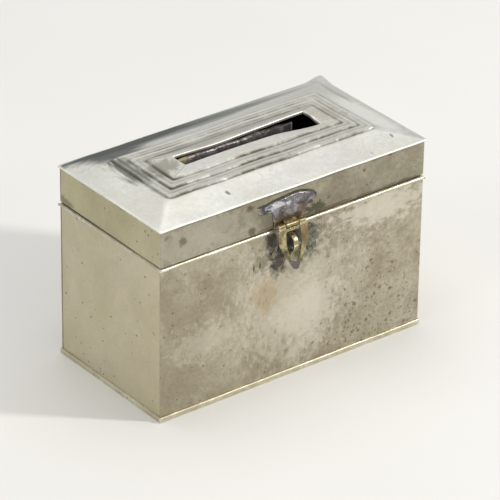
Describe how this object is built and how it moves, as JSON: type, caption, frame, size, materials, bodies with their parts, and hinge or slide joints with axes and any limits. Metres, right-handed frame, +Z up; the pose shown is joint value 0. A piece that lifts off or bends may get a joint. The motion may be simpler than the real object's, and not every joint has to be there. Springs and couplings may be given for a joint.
{
  "type": "donation box",
  "caption": "Oblong sheet-metal money box with a hinged hipped lid, stepped frames round a coin slot, and a small hasp that drops over a staple at the front.",
  "frame": {"origin": "centre of the base tray's flat underside, midway between the walls", "axes": "+X to the right along the front, +Y from the front with the hasp to the back with the hinge, +Z up"},
  "size_m": [0.1518, 0.0889, 0.1044],
  "materials": {
    "wall_sheet": "tinned sheet, dull and mottled, with dents, dark pits and fine scratches",
    "bright_edge": "the same sheet rubbed bright along the edges",
    "lid_sheet": "tinned sheet worn pale, with grime at the foot of each step",
    "collar_sheet": "dull tarnished sheet",
    "hinge_sheet": "dark tarnished sheet",
    "old_brass": "old brass, rubbed bright on the edges, green and brown in the corners",
    "pin_wire": "dull brass wire",
    "solder": "blue-grey lead-tin solder, lumpy, with bright flow marks"
  },
  "bodies": {
    "box_body": {"base_tray": "bright_edge", "front_wall": "wall_sheet", "back_wall": "wall_sheet", "left_wall": "wall_sheet", "right_wall": "wall_sheet", "rim_front": "bright_edge", "rim_back": "bright_edge", "rim_left": "bright_edge", "rim_right": "bright_edge", "collar_front": "collar_sheet", "collar_back": "collar_sheet", "collar_left": "collar_sheet", "collar_right": "collar_sheet", "corner_solder_front_left": "solder", "corner_solder_front_right": "solder", "corner_solder_back_left": "solder", "corner_solder_back_right": "solder", "staple": "old_brass", "staple_solder": "solder", "rear_hinge_body_leaf": "hinge_sheet", "rear_hinge_pin": "pin_wire"},
    "lid": {"lid_top": "lid_sheet", "lid_skirt_front": "wall_sheet", "lid_skirt_back": "wall_sheet", "lid_skirt_left": "wall_sheet", "lid_skirt_right": "wall_sheet", "lid_solder_front_left": "solder", "lid_solder_front_right": "solder", "lid_solder_back_left": "solder", "lid_solder_back_right": "solder", "slot_guard_strip": "solder", "rear_hinge_lid_leaf": "hinge_sheet", "hasp_leaf": "old_brass", "hasp_leaf_solder": "solder", "hasp_pin": "pin_wire"},
    "hasp": {"hasp": "old_brass"}
  },
  "joints": [
    {"name": "lid_hinge", "type": "hinge", "parent": "box_body", "child": "lid", "pos_m": [0, 0.0413, 0.0791], "axis": [-1, 0, 0], "range_deg": [0, 180]},
    {"name": "hasp_hinge", "type": "hinge", "parent": "lid", "child": "hasp", "pos_m": [-0.0044, -0.0412, 0.0802], "axis": [-1, 0, 0], "range_deg": [-15, 145]}
  ]
}
